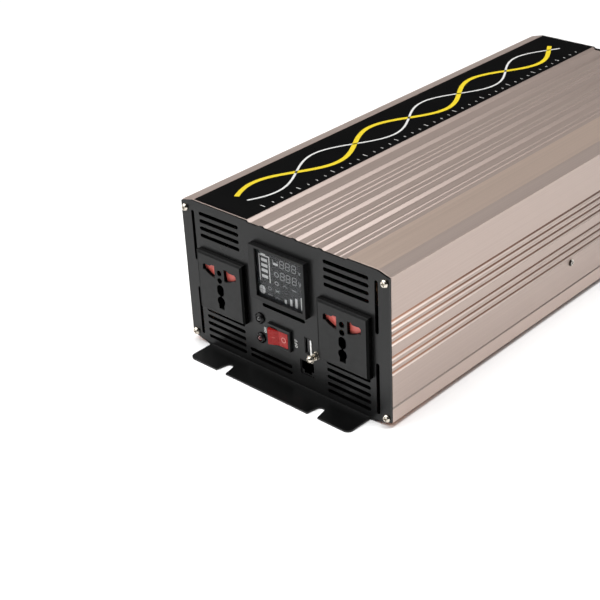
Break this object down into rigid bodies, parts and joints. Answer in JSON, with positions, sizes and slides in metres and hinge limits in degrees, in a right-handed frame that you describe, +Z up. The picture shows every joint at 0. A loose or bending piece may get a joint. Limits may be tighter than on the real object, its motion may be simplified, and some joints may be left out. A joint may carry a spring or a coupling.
{
  "type": "power inverter",
  "caption": "Long box-shaped power inverter in a ribbed metal casing, with mains outlets, display and switch at the front, fans and battery posts at the rear, and slotted feet.",
  "frame": {"origin": "under the middle of the base, on the plane it stands on", "axes": "+Z up, the front panel faces -Y, +X is right as seen from the front"},
  "size_m": [0.2132, 0.529, 0.128],
  "materials": {
    "casing_aluminium": "satin",
    "label_film": "gloss",
    "panel_paint": "matte",
    "screw_steel": "polished",
    "black_screw": "satin",
    "black_plastic": "matte",
    "outlet_plastic": "satin",
    "shutter_red": "satin",
    "window_clear": "gloss",
    "lcd_grey": "satin",
    "board_green": "satin",
    "rocker_red": "gloss",
    "brass": "satin",
    "spring_steel": "satin",
    "led_lens": "gloss",
    "shell_nickel": "polished",
    "tongue_plastic": "satin",
    "guard_steel": "satin",
    "terminal_red": "satin",
    "terminal_black": "satin",
    "copper": "satin",
    "sink_aluminium": "satin",
    "package_black": "matte",
    "ferrite": "matte",
    "winding_tape": "satin",
    "capacitor_sleeve": "satin",
    "choke_powder": "satin",
    "fuse_green": "gloss",
    "lead_red": "satin"
  },
  "bodies": {
    "inverter": {"upper_casing": "casing_aluminium", "lower_casing": "casing_aluminium", "top_label": "label_film", "front_panel": "panel_paint", "rear_panel": "panel_paint", "front_panel_screws": "screw_steel", "rear_panel_screws": "screw_steel", "side_screws": "black_screw", "display_bezel": "black_plastic", "display_window": "window_clear", "lcd_module": "lcd_grey", "control_board": "board_green", "left_outlet_face": "outlet_plastic", "left_outlet_springs": "spring_steel", "left_outlet_contacts": "brass", "left_outlet_back": "black_plastic", "right_outlet_face": "outlet_plastic", "right_outlet_springs": "spring_steel", "right_outlet_contacts": "brass", "right_outlet_back": "black_plastic", "switch_housing": "black_plastic", "switch_terminals": "brass", "led_holders": "black_plastic", "indicator_leds": "led_lens", "usb_shell": "shell_nickel", "usb_tongue": "tongue_plastic", "remote_jack": "black_plastic", "remote_jack_contacts": "brass", "ground_screw": "brass", "ground_hardware": "screw_steel", "left_fan_frame": "black_plastic", "right_fan_frame": "black_plastic", "fan_guards": "guard_steel", "fan_screws": "screw_steel", "positive_insulator": "terminal_red", "negative_insulator": "terminal_black", "positive_stud": "brass", "negative_stud": "brass", "terminal_nuts": "brass", "dc_bus_bars": "copper", "main_board": "board_green", "board_standoffs": "brass", "left_heat_sink": "sink_aluminium", "right_heat_sink": "sink_aluminium", "power_transistors": "package_black", "transformer_cores": "ferrite", "transformer_windings": "winding_tape", "bus_capacitors": "capacitor_sleeve", "input_capacitors": "capacitor_sleeve", "choke_core": "choke_powder", "choke_winding": "copper", "blade_fuses": "fuse_green", "ac_leads": "lead_red", "fan_leads": "black_plastic"},
    "switch_rocker": {"switch_rocker": "rocker_red"},
    "left_outlet_shutter": {"left_outlet_shutter": "shutter_red"},
    "right_outlet_shutter": {"right_outlet_shutter": "shutter_red"},
    "left_fan_rotor": {"left_fan_rotor": "black_plastic"},
    "right_fan_rotor": {"right_fan_rotor": "black_plastic"}
  },
  "joints": [
    {"name": "switch_tilt", "type": "hinge", "parent": "inverter", "child": "switch_rocker", "pos_m": [-0.0041, -0.2397, 0.0381], "axis": [0, 0, -1], "range_deg": [0, 24]},
    {"name": "left_shutter_slide", "type": "slide", "parent": "inverter", "child": "left_outlet_shutter", "axis": [0, 0, -1], "range_m": [0, 0.0116], "stiffness_N_per_m": 60, "springref_m": -0.006, "deforming": ["left_outlet_springs"]},
    {"name": "right_shutter_slide", "type": "slide", "parent": "inverter", "child": "right_outlet_shutter", "axis": [0, 0, -1], "range_m": [0, 0.0116], "stiffness_N_per_m": 60, "springref_m": -0.006, "deforming": ["right_outlet_springs"]},
    {"name": "left_fan_spin", "type": "hinge", "parent": "inverter", "child": "left_fan_rotor", "pos_m": [-0.066, 0.2265, 0.066], "axis": [0, 1, 0], "continuous": true},
    {"name": "right_fan_spin", "type": "hinge", "parent": "inverter", "child": "right_fan_rotor", "pos_m": [0.066, 0.2265, 0.066], "axis": [0, 1, 0], "continuous": true}
  ]
}
